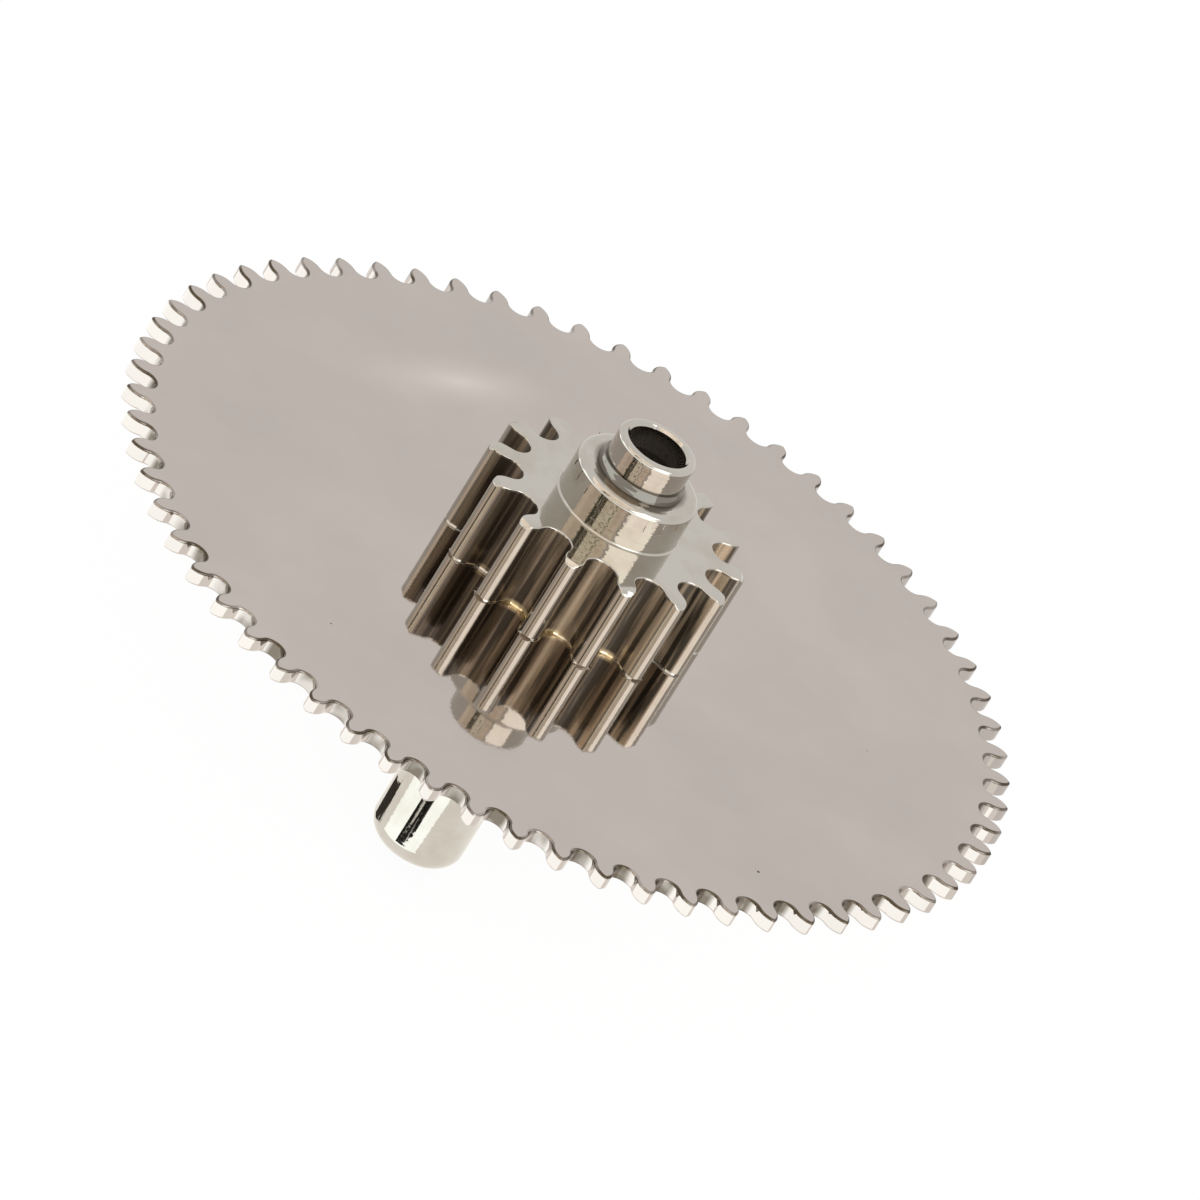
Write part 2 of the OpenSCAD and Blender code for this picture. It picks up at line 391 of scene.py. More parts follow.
def upper_bands(s):
    """Bands of the pinion from the bore's lip over tube, step and journal to the leaves' upper end."""
    leaf_top = s.leaf_length
    journal_top = leaf_top + s.journal_length
    step_top = journal_top + s.step_height
    tube_top = journal_top + s.tube_height
    lip = s.bore_chamfer
    foot = s.foot_fillet
    edge = s.small_round / 2
    step_inner = s.step_radius - s.step_taper
    slope = math.degrees(math.atan2(s.step_taper, s.step_height))
    tilt = math.radians(slope)
    ledge = corner(step_inner - edge, step_top - edge, edge, 90.0, slope)
    return [
        band(np.array((s.bore_radius, s.bore_radius + lip)), np.array((tube_top - lip, tube_top)),
             -DIAGONAL, DIAGONAL),
        band(np.array((s.bore_radius + lip, s.tube_radius - s.tube_round)), tube_top, 0.0, 1.0),
        corner(s.tube_radius - s.tube_round, tube_top - s.tube_round, s.tube_round, 90.0, 0.0, 8),
        band(s.tube_radius, np.array((tube_top - s.tube_round, step_top)), 1.0, 0.0),
        band(np.array((s.tube_radius, step_inner - edge)), step_top, 0.0, 1.0),
        ledge,
        band(np.array((ledge[-1, 1], s.step_radius)), np.array((ledge[-1, 2], journal_top)),
             math.cos(tilt), math.sin(tilt)),
        band(np.array((s.step_radius, s.journal_radius - s.journal_round)), journal_top, 0.0, 1.0),
        corner(s.journal_radius - s.journal_round, journal_top - s.journal_round, s.journal_round,
               90.0, 0.0, 8),
        band(s.journal_radius, np.array((journal_top - s.journal_round, leaf_top + foot)), 1.0, 0.0),
        corner(s.journal_radius + foot, leaf_top + foot, -foot, 0.0, 90.0),
    ]


def leaf_bands(s):
    """Bands of the leaves: upper end, rounded and chamfered edge, flanks, fillet on the disc and lower end.

    A chamfer is a cone of 45 degrees: no point lies further out than the tip radius - chamfer + distance
    to the end.
    """
    top = s.leaf_length
    edge = s.leaf_edge_round
    foot = s.foot_fillet
    chamfer = s.leaf_chamfer
    foot_chamfer = s.leaf_foot_chamfer
    inner = s.leaf_tip_radius - chamfer
    foot_inner = s.leaf_tip_radius - foot_chamfer
    ring = s.leaf_tip_radius - s.leaf_depth - LEAF_RING_INSET
    neck = s.journal_radius + foot
    turn = np.radians(np.linspace(0.0, 90.0, 5))
    inset = edge * (1 - np.sin(turn))
    drop = edge * (1 - np.cos(turn))
    flare = foot * (np.cos(turn) - 1)
    rise = foot * (1 - np.sin(turn))
    upper = np.array((edge, 0.6 * chamfer, chamfer))
    lower = np.array((foot_chamfer, foot))
    return [
        np.concatenate((band(np.array((neck, 0.5 * (neck + ring), ring)), top, 0.0, 1.0),
                        band(edge, top, 0.0, 1.0, on_outline=1.0, cone=inner))),
        band(inset, top - drop, np.sin(turn), np.cos(turn), 1.0, inner + drop, DIAGONAL),
        band(0.0, top - upper, 1.0, 0.0, 1.0, inner + upper, DIAGONAL),
        band(0.0, np.linspace(top - chamfer, foot_chamfer, 6), 1.0, 0.0, 1.0),
        band(0.0, lower, 1.0, 0.0, 1.0, foot_inner + lower, -DIAGONAL),
        band(flare, rise, np.cos(turn), np.sin(turn), 1.0, foot_inner + rise, -DIAGONAL),
        np.concatenate((band(-foot, 0.0, 0.0, -1.0, on_outline=1.0, cone=foot_inner),
                        band(np.array((ring, s.seat_radius)), 0.0, 0.0, -1.0))),
    ]


def lower_bands(s, thickness):
    """Bands of the pinion from its seat in the disc down the arbor, round its end and back up the bore."""
    disc_under = -thickness
    rivet_under = disc_under - s.rivet_height
    journal_under = rivet_under - s.lower_length
    arbor_end = -s.arbor_reach
    groove = arbor_end + s.groove_from_end
    half = s.groove_width / 2
    edge = s.small_round
    tube_top = s.leaf_length + s.journal_length + s.tube_height
    slope = math.atan2(s.groove_depth, half)
    end_reach = s.arbor_radius - s.arbor_round
    end_turn = -math.degrees(math.acos((s.bore_radius - end_reach) / s.arbor_round))
    end = corner(end_reach, arbor_end + s.arbor_round, s.arbor_round, 0.0, end_turn, 12)
    return [
        band(s.seat_radius, np.array((0.0, disc_under)), 1.0, 0.0),
        band(np.array((s.seat_radius, s.rivet_radius)), disc_under, 0.0, 1.0),
        band(s.rivet_radius, np.array((disc_under, rivet_under + edge)), 1.0, 0.0),
        corner(s.rivet_radius - edge, rivet_under + edge, edge, 0.0, -90.0),
        band(np.array((s.rivet_radius - edge, s.lower_radius)), rivet_under, 0.0, -1.0),
        band(s.lower_radius, np.array((rivet_under, journal_under + edge)), 1.0, 0.0),
        corner(s.lower_radius - edge, journal_under + edge, edge, 0.0, -90.0),
        band(np.array((s.lower_radius - edge, s.arbor_radius)), journal_under, 0.0, -1.0),
        band(s.arbor_radius, np.array((journal_under, groove + half)), 1.0, 0.0),
        band(np.array((s.arbor_radius, s.arbor_radius - s.groove_depth)), np.array((groove + half, groove)),
             math.cos(slope), -math.sin(slope)),
        band(np.array((s.arbor_radius - s.groove_depth, s.arbor_radius)), np.array((groove, groove - half)),
             math.cos(slope), math.sin(slope)),
        band(s.arbor_radius, np.array((groove - half, arbor_end + s.arbor_round)), 1.0, 0.0),
        end,
        band(s.bore_radius, np.linspace(end[-1, 2], tube_top - s.bore_chamfer, 6), -1.0, 0.0),
    ]


def new_material(name, tint):
    """New metal material, with its shader and with coordinates in millimetres along the axis."""
    material = bpy.data.materials.new(name)
    material.use_nodes = True
    material.diffuse_color = (*tint, 1.0)
    tree = material.node_tree
    shader = tree.nodes["Principled BSDF"]
    shader.inputs["Metallic"].default_value = 1.0
    place = tree.nodes.new("ShaderNodeTexCoord")
    mapping = tree.nodes.new("ShaderNodeMapping")
    mapping.inputs["Rotation"].default_value = (0.0, -LEAN, 0.0)
    mapping.inputs["Scale"].default_value = (1 / MM, 1 / MM, 1 / MM)
    tree.links.new(place.outputs["Object"], mapping.inputs["Vector"])
    return material, tree, shader, mapping.outputs["Vector"]


def math_node(tree, operation, *values):
    """Math node of an operation on numbers or links, as its output."""
    node = tree.nodes.new("ShaderNodeMath")
    node.operation = operation
    for socket, value in zip(node.inputs, values):
        if isinstance(value, (int, float)):
            socket.default_value = value
        else:
            tree.links.new(value, socket)
    return node.outputs[0]


def product(tree, *values):
    """Product of links and numbers, as its output."""
    total = values[0]
    for value in values[1:]:
        total = math_node(tree, "MULTIPLY", total, value)
    return total


def noise(tree, vector, scale, detail=2.0, roughness=0.5):
    """Noise of a scale per unit of the vector, as its output from 0 to 1."""
    node = tree.nodes.new("ShaderNodeTexNoise")
    node.inputs["Scale"].default_value = scale
    node.inputs["Detail"].default_value = detail
    node.inputs["Roughness"].default_value = roughness
    tree.links.new(vector, node.inputs["Vector"])
    return node.outputs["Fac"]


def spread(tree, value, given, wanted=(0.0, 1.0)):
    """Value moved from a given range to a wanted one and held inside it."""
    node = tree.nodes.new("ShaderNodeMapRange")
    for name, limit in zip(("From Min", "From Max", "To Min", "To Max"), (*given, *wanted)):
        node.inputs[name].default_value = limit
    tree.links.new(value, node.inputs["Value"])
    return node.outputs["Result"]


def blend_colour(tree, factor, first, second):
    """Colour between two colours by a linked factor; a colour may be a value or a link."""
    node = tree.nodes.new("ShaderNodeMix")
    node.data_type = "RGBA"
    tree.links.new(factor, node.inputs["Factor"])
    for socket, value in ((node.inputs[6], first), (node.inputs[7], second)):
        if isinstance(value, bpy.types.NodeSocket):
            tree.links.new(value, socket)
        else:
            socket.default_value = (*value, 1.0)
    return node.outputs[2]


def blend_number(tree, factor, first, second):
    """Number between two linked numbers by a linked factor."""
    node = tree.nodes.new("ShaderNodeMix")
    for place, value in ((0, factor), (2, first), (3, second)):
        tree.links.new(value, node.inputs[place])
    return node.outputs[0]


def attribute(tree, name):
    """Attribute of the mesh, as its output."""
    node = tree.nodes.new("ShaderNodeAttribute")
    node.attribute_name = name
    return node.outputs["Fac"]


def bump(tree, shader, height, distance, strength):
    """Bump of a small distance in metres on a shader."""
    node = tree.nodes.new("ShaderNodeBump")
    node.inputs["Strength"].default_value = strength
    node.inputs["Distance"].default_value = distance
    tree.links.new(height, node.inputs["Height"])
    tree.links.new(node.outputs["Normal"], shader.inputs["Normal"])


def turned_place(tree, place):
    """Distance from the axis, level along it, and both coordinates across it, in millimetres."""
    parts = tree.nodes.new("ShaderNodeSeparateXYZ")
    tree.links.new(place, parts.inputs["Vector"])
    x, y, z = parts.outputs
    square = math_node(tree, "ADD", product(tree, x, x), product(tree, y, y))
    return math_node(tree, "SQRT", square), z, x, y


def joined_vector(tree, *parts):
    """Vector of up to three linked parts, as its output."""
    node = tree.nodes.new("ShaderNodeCombineXYZ")
    for socket, part in zip(node.inputs, parts):
        tree.links.new(part, socket)
    return node.outputs["Vector"]


def shade(tint, factor):
    """Colour made lighter or darker by a factor."""
    return tuple(min(1.0, factor * part) for part in tint)


FALLING = (1.0, 0.0)

# Specks on the plate: cells per millimetre, share of cells with a speck, and sizes as shares of a cell
SPECK_CELLS = 2.3
SPECK_SHARE = 0.20
SPECK_SIZES = (0.012, 0.055)
SPECK_EDGE = 0.012

# Painted reflection, a lighter streak on the plate: middle and half sizes in millimetres, and its turn about
# the axis
PAINTED_STREAK_MIDDLE = (0.83, 2.03, 0.0)
PAINTED_STREAK_HALF_SIZES = (1.15, 0.36, 0.5)
PAINTED_STREAK_TURN = math.radians(-17.5)

# Marks of the cutter on the leaves: streaks per millimetre across and along the axis
CUTTER_ACROSS = 16.0
CUTTER_ALONG = 0.7

# Direction across the axis in which the painted shade on the leaf flanks thins, so that they get lighter
SHADE_THINS_SIDE = (0.67, -0.74)

GRAIN_HEIGHT = 0.0004 * MM
CHATTER_HEIGHT = 0.0030 * MM


def plate_specks(tree, place):
    """A few tiny specks of uneven size: 1 on a speck and 0 beside it."""
    cells = tree.nodes.new("ShaderNodeTexVoronoi")
    cells.inputs["Scale"].default_value = SPECK_CELLS
    tree.links.new(place, cells.inputs["Vector"])
    drawn = tree.nodes.new("ShaderNodeSeparateColor")
    tree.links.new(cells.outputs["Color"], drawn.inputs["Color"])
    kept = math_node(tree, "GREATER_THAN", drawn.outputs["Red"], 1 - SPECK_SHARE)
    size = spread(tree, drawn.outputs["Green"], (0.0, 1.0), SPECK_SIZES)
    inside = math_node(tree, "SUBTRACT", size, cells.outputs["Distance"])
    return product(tree, spread(tree, inside, (0.0, SPECK_EDGE)), kept)


def painted_reflection_streak(tree, place):
    """Painted reflection: a soft lighter streak on the disc's upper face, 1 in its middle and 0 from its
    edge on.
    """
    turned = tree.nodes.new("ShaderNodeMapping")
    turned.vector_type = "TEXTURE"
    turned.inputs["Location"].default_value = PAINTED_STREAK_MIDDLE
    turned.inputs["Rotation"].default_value = (0.0, 0.0, PAINTED_STREAK_TURN)
    turned.inputs["Scale"].default_value = PAINTED_STREAK_HALF_SIZES
    tree.links.new(place, turned.inputs["Vector"])
    ball = tree.nodes.new("ShaderNodeTexGradient")
    ball.gradient_type = "QUADRATIC_SPHERE"
    tree.links.new(turned.outputs["Vector"], ball.inputs["Vector"])
    return ball.outputs["Fac"]


def painted_tooth_shade(tree, place):
    """Painted shade: uneven dark brown on the upper edges and on the gap floors of the teeth."""
    sizes = bpy.context.scene.center_wheel.disc
    root = (sizes.tip_radius - sizes.tooth_depth) / MM
    radius, z = turned_place(tree, place)[:2]
    at_edge = spread(tree, z, (-0.020, -0.014))
    at_root = spread(tree, radius, (root + 0.012, root + 0.040), (0.9, 0.0))
    uneven_shade = spread(tree, noise(tree, place, 4.0), (0.36, 0.56), (0.25, 1.0))
    painted_shade_places = math_node(tree, "MAXIMUM", at_edge, at_root)
    return product(tree, painted_shade_places, uneven_shade, attribute(tree, "tooth_side"))


def nickel_material(finishes):
    """Bright nickel plate: a mirror with a faint grain, clouds, a painted reflection streak, painted shade
    on the tooth edges and gap floors, and specks.
    """
    material, tree, shader, place = new_material("nickel_plate", finishes.nickel)
    clouds = spread(tree, noise(tree, place, 0.7, 3.0, 0.6), (0.35, 0.65))
    grain = noise(tree, place, 26.0, 3.0, 0.6)
    speck = plate_specks(tree, place)
    plate = blend_colour(tree, clouds, shade(finishes.nickel, 0.96), shade(finishes.nickel, 1.04))
    # Painted reflection: a lighter streak across the upper face
    plate = blend_colour(tree, painted_reflection_streak(tree, place), plate, shade(finishes.nickel, 1.32))
    # Painted shade on the upper tooth edges and gap floors
    plate = blend_colour(tree, painted_tooth_shade(tree, place), plate, finishes.painted_edge_shade_colour)
    plate = blend_colour(tree, speck, plate, finishes.speck_and_flank_shade)
    tree.links.new(plate, shader.inputs["Base Color"])
    polish = spread(tree, grain, (0.3, 0.7), (0.020, 0.040))
    roughness = math_node(tree, "MAXIMUM", polish, product(tree, speck, 0.5))
    tree.links.new(roughness, shader.inputs["Roughness"])
    bump(tree, shader, grain, GRAIN_HEIGHT, 0.25)
    return material


def painted_step_foot_shade(tree, sizes, radius, z):
    """Painted shade: a dark ring on the upper journal's end, round the foot of the step."""
    step = sizes.step_radius / MM
    ledge = (sizes.leaf_length + sizes.journal_length) / MM
    step_top = ledge + sizes.step_height / MM
    round_foot = spread(tree, radius, (step + 0.005, step + 0.040), (0.65, 0.0))
    above = spread(tree, z, (ledge - 0.010, ledge - 0.002))
    below = spread(tree, z, (step_top, step_top + 0.020), FALLING)
    return product(tree, round_foot, above, below)


def painted_gap_glint(tree, sizes, place, radius, z):
    """Painted highlight: patchy golden glints where the gaps between the leaves meet the disc."""
    root = (sizes.leaf_tip_radius - sizes.leaf_depth) / MM
    low = spread(tree, z, (0.020, 0.050), FALLING)
    above_disc = spread(tree, z, (-0.020, -0.010))
    in_gap = spread(tree, radius, (root + 0.04, root + 0.10), FALLING)
    patchy = spread(tree, noise(tree, place, 3.0), (0.42, 0.52))
    return product(tree, low, above_disc, in_gap, patchy)


def flank_colour(tree, finishes, cutting, patches, x, y):
    """Colour of the cut flanks: streaks of two browns from the cutter, the dark one also painted shade deep
    in the gaps, with a dark painted shade that thins to one side.
    """
    streaks = spread(tree, cutting, (0.43, 0.60))
    streaked = blend_colour(tree, streaks, finishes.dark_streak_and_shade, finishes.flank_light)
    across = math_node(tree, "ADD", product(tree, x, SHADE_THINS_SIDE[0]), product(tree, y, SHADE_THINS_SIDE[1]))
    uneven_shade = math_node(tree, "ADD", across, product(tree, patches, 0.6))
    thinning_shade = spread(tree, uneven_shade, (-0.5, 0.7), (0.75, 0.0))
    return blend_colour(tree, thinning_shade, streaked, finishes.speck_and_flank_shade)


def steel_material(finishes):
    """Polished steel: rings from turning, streaks along the cut leaves darkened by painted shade, slight
    tarnish, a painted shade ring at the step's foot and painted golden glints at the gap floors.
    """
    material, tree, shader, place = new_material("polished_steel", finishes.steel)
    sizes = bpy.context.scene.center_wheel.pinion
    radius, z, x, y = turned_place(tree, place)
    rings = joined_vector(tree, radius, z)
    along = joined_vector(tree, product(tree, x, CUTTER_ACROSS), product(tree, y, CUTTER_ACROSS),
                          product(tree, z, CUTTER_ALONG))
    turning = noise(tree, rings, 34.0, 3.0, 0.65)
    chatter = noise(tree, rings, 19.0)
    cutting = noise(tree, along, 1.0)
    patches = noise(tree, place, 3.2, 4.0, 0.6)
    tip = sizes.leaf_tip_radius / MM
    # The cut flanks below the heads take the dark flank colour, partly cutter streaks and partly painted
    # shade deep in the gaps
    below_head = spread(tree, radius, (tip - 0.054, tip - 0.034), FALLING)
    flank = product(tree, attribute(tree, "leaf_cut"), below_head)
    bore = attribute(tree, "bore_wall")

    tarnish = spread(tree, patches, (0.45, 0.75), (0.0, 0.30))
    metal = blend_colour(tree, tarnish, finishes.steel, finishes.steel_tarnish)
    # Painted shade in the corner round the step's foot
    metal = blend_colour(tree, painted_step_foot_shade(tree, sizes, radius, z), metal, finishes.dark_streak_and_shade)
    metal = blend_colour(tree, flank, metal, flank_colour(tree, finishes, cutting, patches, x, y))
    # Painted highlight: golden glints at the gap floors
    metal = blend_colour(tree, painted_gap_glint(tree, sizes, place, radius, z), metal, finishes.painted_glint_gold)
    metal = blend_colour(tree, bore, metal, finishes.steel_tarnish)
    tree.links.new(metal, shader.inputs["Base Color"])

    dull = math_node(tree, "MAXIMUM", flank, bore)
    tree.links.new(spread(tree, dull, (0.0, 1.0), (1.0, 0.45)), shader.inputs["Metallic"])
    polished = spread(tree, turning, (0.3, 0.7), (0.025, 0.055))
    scored = spread(tree, cutting, (0.3, 0.7), (0.18, 0.30))
    outside = blend_number(tree, flank, polished, scored)
    roughness = math_node(tree, "MAXIMUM", outside, product(tree, bore, 0.6))
    tree.links.new(roughness, shader.inputs["Roughness"])
    journal = sizes.leaf_length / MM
    on_journal = spread(tree, z, (journal + 0.01, journal + 0.04), (0.12, 1.0))
    bump(tree, shader, product(tree, chatter, on_journal), CHATTER_HEIGHT, 1.0)
    return material


class MakeDisc(bpy.types.Operator):
    """Builds the toothed disc in place of its plain solid"""

    bl_idname = "center_wheel.disc"
    bl_label = "Make Disc"

    def execute(self, context):
        settings = context.scene.center_wheel
        s = settings.disc
        outline = toothed_outline(s.teeth, s.tip_radius, s.tooth_depth, s.addendum, s.tooth_width,
                                  s.tooth_point, math.pi / s.teeth, TOOTH_STEPS)
        bands = disc_bands(s)
        mesh = ring_mesh("toothed_disc", *carried_surface(outline, bands))
        edges_and_wall = (1, 2, 3)
        mark_rows(mesh, "tooth_side", bands, edges_and_wall, len(outline["x"]))
        add_piece(mesh, "wheel", nickel_material(settings.finishes))
        return {"FINISHED"}


class MakePinion(bpy.types.Operator):
    """Builds the hollow center pinion in place of its plain solid"""

    bl_idname = "center_wheel.pinion"
    bl_label = "Make Pinion"

    def execute(self, context):
        settings = context.scene.center_wheel
        s = settings.pinion
        outline = toothed_outline(s.leaves, s.leaf_tip_radius, s.leaf_depth, s.leaf_addendum, s.leaf_width,
                                  LEAF_POINT, s.leaf_phase, LEAF_STEPS)
        upper = upper_bands(s)
        bands = upper + leaf_bands(s) + lower_bands(s, settings.disc.thickness)
        mesh = ring_mesh("hollow_pinion", *carried_surface(outline, bands))
        chamfers_and_flanks = tuple(len(upper) + place for place in (2, 3, 4))
        bore = (len(bands) - 1,)
        mark_rows(mesh, "leaf_cut", bands, chamfers_and_flanks, len(outline["x"]))
        mark_rows(mesh, "bore_wall", bands, bore, len(outline["x"]))
        add_piece(mesh, "center_pinion", steel_material(settings.finishes))
        return {"FINISHED"}


WARM_WHITE = (1.0, 0.985, 0.96)
COOL_WHITE = (0.92, 0.98, 1.0)
DARK = (0.020, 0.018, 0.015)
CORNER_SIGNS = ((-1, -1), (1, -1), (1, 1), (-1, 1))
FLOOR_HALF = 1.0
FLOOR_GLOW = 1.03
FLOOR_GLOW_SHARE = 0.90
SOFT_WORLD = 0.78
CLIP_NEAR = 0.001
CLIP_FAR = 10.0
# Step in height between the floor and the cards that lie on it
CARD_STEP = 0.001 * MM


def stage_plane(name, corners, material):
    """Flat stage piece from four corners, staged so that it is not part of the object."""
    mesh = bpy.data.meshes.new(name)
    mesh.from_pydata(corners, [], [(0, 1, 2, 3)])
    plane = bpy.data.objects.new(name, mesh)
    bpy.context.scene.collection.objects.link(plane)
    mesh.materials.append(material)
    return plane


def seen_rays(tree):
    """1 for rays from the camera, off a mirror or through glass, and 0 for the rest."""
    path = tree.nodes.new("ShaderNodeLightPath")
    mirrored = math_node(tree, "MAXIMUM", path.outputs["Is Glossy Ray"],
                         path.outputs["Is Transmission Ray"])
    return math_node(tree, "MAXIMUM", path.outputs["Is Camera Ray"], mirrored)


def floor_material(tint):
    """Pale floor: matt, and near white to the camera and in the metal, with a faint shadow left on it."""
    material = bpy.data.materials.new("pale_floor")
    material.use_nodes = True
    tree = material.node_tree
    shader = tree.nodes["Principled BSDF"]
    shader.inputs["Base Color"].default_value = (*tint, 1.0)
    shader.inputs["Roughness"].default_value = 1.0
    shader.inputs["Specular IOR Level"].default_value = 0.0
    glow = tree.nodes.new("ShaderNodeEmission")
    mix = tree.nodes.new("ShaderNodeMixShader")
    tree.links.new(product(tree, seen_rays(tree), FLOOR_GLOW_SHARE), mix.inputs["Fac"])
    glow.inputs["Strength"].default_value = FLOOR_GLOW
    tree.links.new(shader.outputs["BSDF"], mix.inputs[1])
    tree.links.new(glow.outputs["Emission"], mix.inputs[2])
    tree.links.new(mix.outputs["Shader"], tree.nodes["Material Output"].inputs["Surface"])
    return material


def glow_material(name, tint, strength):
    """Even glow of a card that only the metal mirrors."""
    material = bpy.data.materials.new(name)
    material.use_nodes = True
    tree = material.node_tree
    tree.nodes.remove(tree.nodes["Principled BSDF"])
    glow = tree.nodes.new("ShaderNodeEmission")
    glow.inputs["Color"].default_value = (*tint, 1.0)
    glow.inputs["Strength"].default_value = strength
    tree.links.new(glow.outputs["Emission"], tree.nodes["Material Output"].inputs["Surface"])
    return material


def mottled_material(name, dark, light, scale, edges):
    """Uneven glow of a card that only the metal mirrors, from dark to light between two noise edges."""
    material = glow_material(name, dark, 1.0)
    tree = material.node_tree
    place = tree.nodes.new("ShaderNodeTexCoord")
    clutter = noise(tree, place.outputs["Object"], scale, 3.0, 0.55)
    mixed = blend_colour(tree, spread(tree, clutter, edges), dark, light)
    tree.links.new(mixed, tree.nodes["Emission"].inputs["Color"])
    return material


def facing(azimuth, elevation):
    """Direction from the part towards an azimuth and an elevation in degrees."""
    a = math.radians(azimuth)
    e = math.radians(elevation)
    return np.array((math.sin(a) * math.cos(e), -math.cos(a) * math.cos(e), math.sin(e)))


def beside(azimuth):
    """Level direction to the right, seen from an azimuth in degrees."""
    a = math.radians(azimuth)
    return np.array((math.cos(a), math.sin(a), 0.0))


def lay_card(name, middle, right, up, material):
    """Card from its middle and its half sides, left to the metal's reflections alone."""
    corners = [tuple(middle + sx * right + sy * up) for sx, sy in CORNER_SIGNS]
    card = stage_plane(name, corners, material)
    card.visible_camera = False
    card.visible_diffuse = False
    card.visible_shadow = False
    card.visible_transmission = False


def level_card(name, middle, half_x, half_y, material):
    """Level card from its middle and its half sides along X and Y."""
    lay_card(name, np.array(middle), np.array((half_x, 0.0, 0.0)), np.array((0.0, half_y, 0.0)), material)


def face_card(name, azimuth, elevation, distance, width, height, material):
    """Card that faces the part from an azimuth and an elevation in degrees."""
    back = facing(azimuth, elevation)
    right = beside(azimuth)
    lay_card(name, back * distance, right * width / 2, np.cross(back, right) * height / 2, material)


def add_light(name, azimuth, elevation, distance, width, height, radiance):
    """Soft lamp that faces the part; its power is pi times area times the radiance seen in the metal."""
    data = bpy.data.lights.new(name, "AREA")
    data.shape = "RECTANGLE"
    data.size = width
    data.size_y = height
    data.energy = math.pi * width * height * radiance
    lamp = bpy.data.objects.new(name, data)
    lamp.location = facing(azimuth, elevation) * distance
    lamp.rotation_mode = "QUATERNION"
    lamp.rotation_quaternion = lamp.location.to_track_quat("Z", "Y")
    bpy.context.scene.collection.objects.link(lamp)


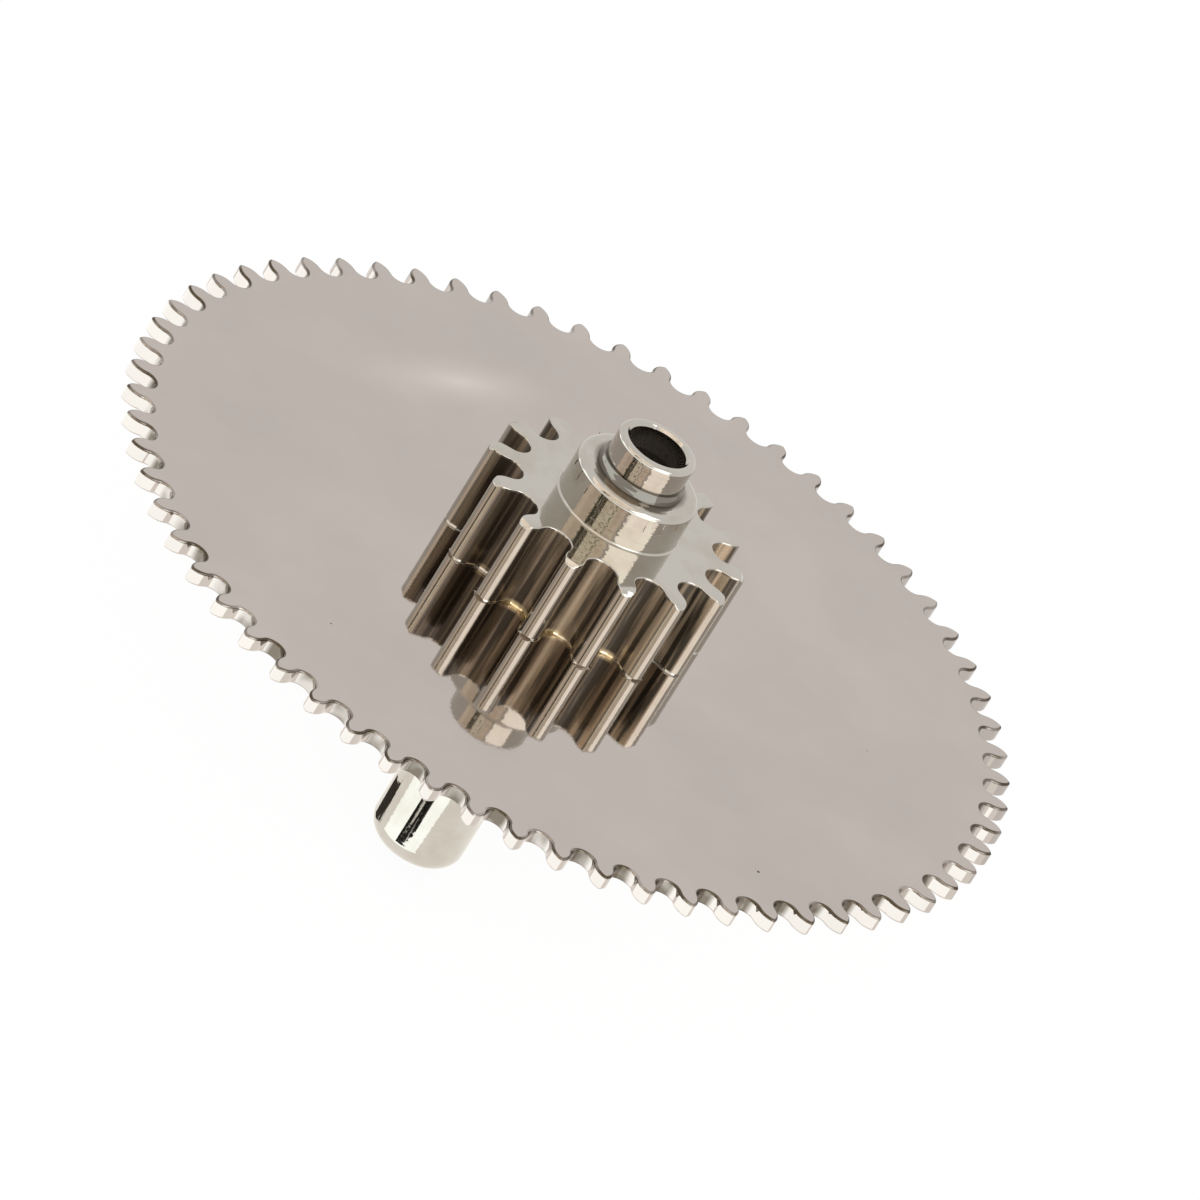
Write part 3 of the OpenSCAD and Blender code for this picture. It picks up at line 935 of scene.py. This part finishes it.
class MakeStage(bpy.types.Operator):
    """Builds the floor, the cards, the lamp, the world and the camera"""

    bl_idname = "center_wheel.stage"
    bl_label = "Make Stage"

    def execute(self, context):
        s = context.scene.center_wheel.stage
        low = CAD_BOX[0][2]
        corners = [(sx * FLOOR_HALF, sy * FLOOR_HALF, low) for sx, sy in CORNER_SIGNS]
        stage_plane("floor", corners, floor_material(s.floor_colour))
        self.make_bright_cards(low)
        self.make_dark_cards(low)
        self.make_high_cards()
        add_light("front_lamp", azimuth=4.0, elevation=33.0, distance=0.40, width=0.36, height=0.24,
                  radiance=1.9)
        self.make_world(context)
        self.make_camera(context, s)
        context.scene.view_settings.view_transform = "Standard"
        return {"FINISHED"}

    def make_bright_cards(self, low):
        """Bright cards that the metal mirrors: three beside the part and two on the floor under it."""
        side = glow_material("side_cards", COOL_WHITE, 2.15)
        for name, azimuth in (("left_card", -130.0), ("near_card", -76.0), ("right_card", -22.0)):
            face_card(name, azimuth, elevation=11.0, distance=0.40, width=0.44, height=0.22, material=side)
        level_card("light_table", (-0.226, 0.0, low + 2 * CARD_STEP), half_x=0.225, half_y=0.45,
                   material=side)
        level_card("near_table", (-4.0 * MM, -1.0 * MM, low + 3 * CARD_STEP), half_x=5.0 * MM,
                   half_y=8.0 * MM, material=glow_material("near_table", WARM_WHITE, 1.30))

    def make_dark_cards(self, low):
        """Dark mottled cards that the arbor mirrors: a low bar beside it and a strip on the floor."""
        bar = mottled_material("low_dark_bar", DARK, WARM_WHITE, scale=1500.0, edges=(0.56, 0.62))
        bar_azimuth = -84.0
        bar_distance = 6.3 * MM
        bar_level = np.array((0.0, 0.0, low + 2 * CARD_STEP + 1.2 * MM))
        lay_card("low_dark_bar", facing(bar_azimuth, 0.0) * bar_distance + bar_level,
                 beside(bar_azimuth) * 1.1 * MM, np.array((0.0, 0.0, 0.28)) * MM, bar)
        strip = mottled_material("contact_shadow", (0.060, 0.055, 0.045), WARM_WHITE, scale=1500.0,
                                 edges=(0.54, 0.62))
        lay_card("contact_shadow", np.array((-2.2 * MM, 1.6 * MM, low + 4 * CARD_STEP)),
                 np.array((-0.6, 0.6, 0.0)) * MM, np.array((0.20, 0.20, 0.0)) * MM, strip)

    def make_high_cards(self):
        """Mottled cards above the part: two that the upper journal mirrors and one that the disc mirrors."""
        camera = mottled_material("camera_card", (0.17, 0.155, 0.12), (1.30, 1.26, 1.10), scale=30.0,
                                  edges=(0.44, 0.60))
        face_card("camera_card", azimuth=-104.0, elevation=60.0, distance=0.28, width=0.070, height=0.10,
                  material=camera)
        dashes = mottled_material("dashes_card", (0.45, 0.42, 0.32), (1.70, 1.64, 1.46), scale=50.0,
                                  edges=(0.40, 0.54))
        face_card("dashes_card", azimuth=-64.0, elevation=62.0, distance=0.28, width=0.11, height=0.10,
                  material=dashes)
        ceiling = mottled_material("ceiling_card", (1.15, 1.02, 0.90), (1.60, 1.44, 1.28), scale=8.0,
                                   edges=(0.36, 0.56))
        level_card("ceiling_card", (-0.12, 0.0, 0.34), half_x=0.26, half_y=0.26, material=ceiling)

    def make_world(self, context):
        """White to the camera and in the metal, softer as light on matt surfaces."""
        world = bpy.data.worlds.new("white_room")
        context.scene.world = world
        world.use_nodes = True
        tree = world.node_tree
        soft = tree.nodes["Background"]
        soft.inputs["Color"].default_value = (1.0, 1.0, 1.0, 1.0)
        soft.inputs["Strength"].default_value = SOFT_WORLD
        white = tree.nodes.new("ShaderNodeBackground")
        white.inputs["Color"].default_value = (1.0, 1.0, 1.0, 1.0)
        mix = tree.nodes.new("ShaderNodeMixShader")
        tree.links.new(seen_rays(tree), mix.inputs["Fac"])
        tree.links.new(soft.outputs["Background"], mix.inputs[1])
        tree.links.new(white.outputs["Background"], mix.inputs[2])
        tree.links.new(mix.outputs["Shader"], tree.nodes["World Output"].inputs["Surface"])

    def make_camera(self, context, s):
        """Camera at its azimuth, elevation and roll, aimed beside the origin by the picture's framing."""
        back = facing(math.degrees(s.azimuth), math.degrees(s.elevation))
        level = beside(math.degrees(s.azimuth))
        rise = np.cross(back, level)
        right = level * math.cos(s.roll) + rise * math.sin(s.roll)
        up = np.cross(back, right)
        data = bpy.data.cameras.new("camera")
        data.sensor_width = SENSOR_WIDTH
        data.lens = s.picture_scale * (s.distance / MM) * SENSOR_WIDTH / PICTURE_SIDE
        data.clip_start = CLIP_NEAR
        data.clip_end = CLIP_FAR
        camera = bpy.data.objects.new("camera", data)
        camera.location = back * s.distance + (right * s.aim_right + up * s.aim_up) * MM
        camera.rotation_euler = Matrix((right, up, back)).transposed().to_euler()
        context.scene.collection.objects.link(camera)
        context.scene.camera = camera


class CenterWheelPanel(bpy.types.Panel):
    """Sidebar panel with the steps and the sizes"""

    bl_idname = "VIEW3D_PT_center_wheel"
    bl_label = "Center Wheel"
    bl_space_type = "VIEW_3D"
    bl_region_type = "UI"
    bl_category = "Center Wheel"

    def draw(self, context):
        settings = context.scene.center_wheel
        for step in STEPS:
            self.layout.operator(step.bl_idname)
        for group in (settings.disc, settings.pinion, settings.finishes, settings.stage):
            box = self.layout.box()
            for name in group.__annotations__:
                box.prop(group, name)


STEPS = (MakeDisc, MakePinion, MakeStage)
GROUPS = (DiscSizes, PinionSizes, Finishes, StageSettings, CenterWheelSettings)


def register():
    """Registers the groups, the steps and the panel."""
    for item in (*GROUPS, *STEPS, CenterWheelPanel):
        bpy.utils.register_class(item)
    bpy.types.Scene.center_wheel = bpy.props.PointerProperty(type=CenterWheelSettings)


def unregister():
    """Takes the groups, the steps and the panel out again."""
    del bpy.types.Scene.center_wheel
    for item in reversed((*GROUPS, *STEPS, CenterWheelPanel)):
        bpy.utils.unregister_class(item)


def main():
    """Builds the disc, the pinion and the stage."""
    register()
    bpy.ops.center_wheel.disc()
    bpy.ops.center_wheel.pinion()
    bpy.ops.center_wheel.stage()


if __name__ == "__main__":
    main()
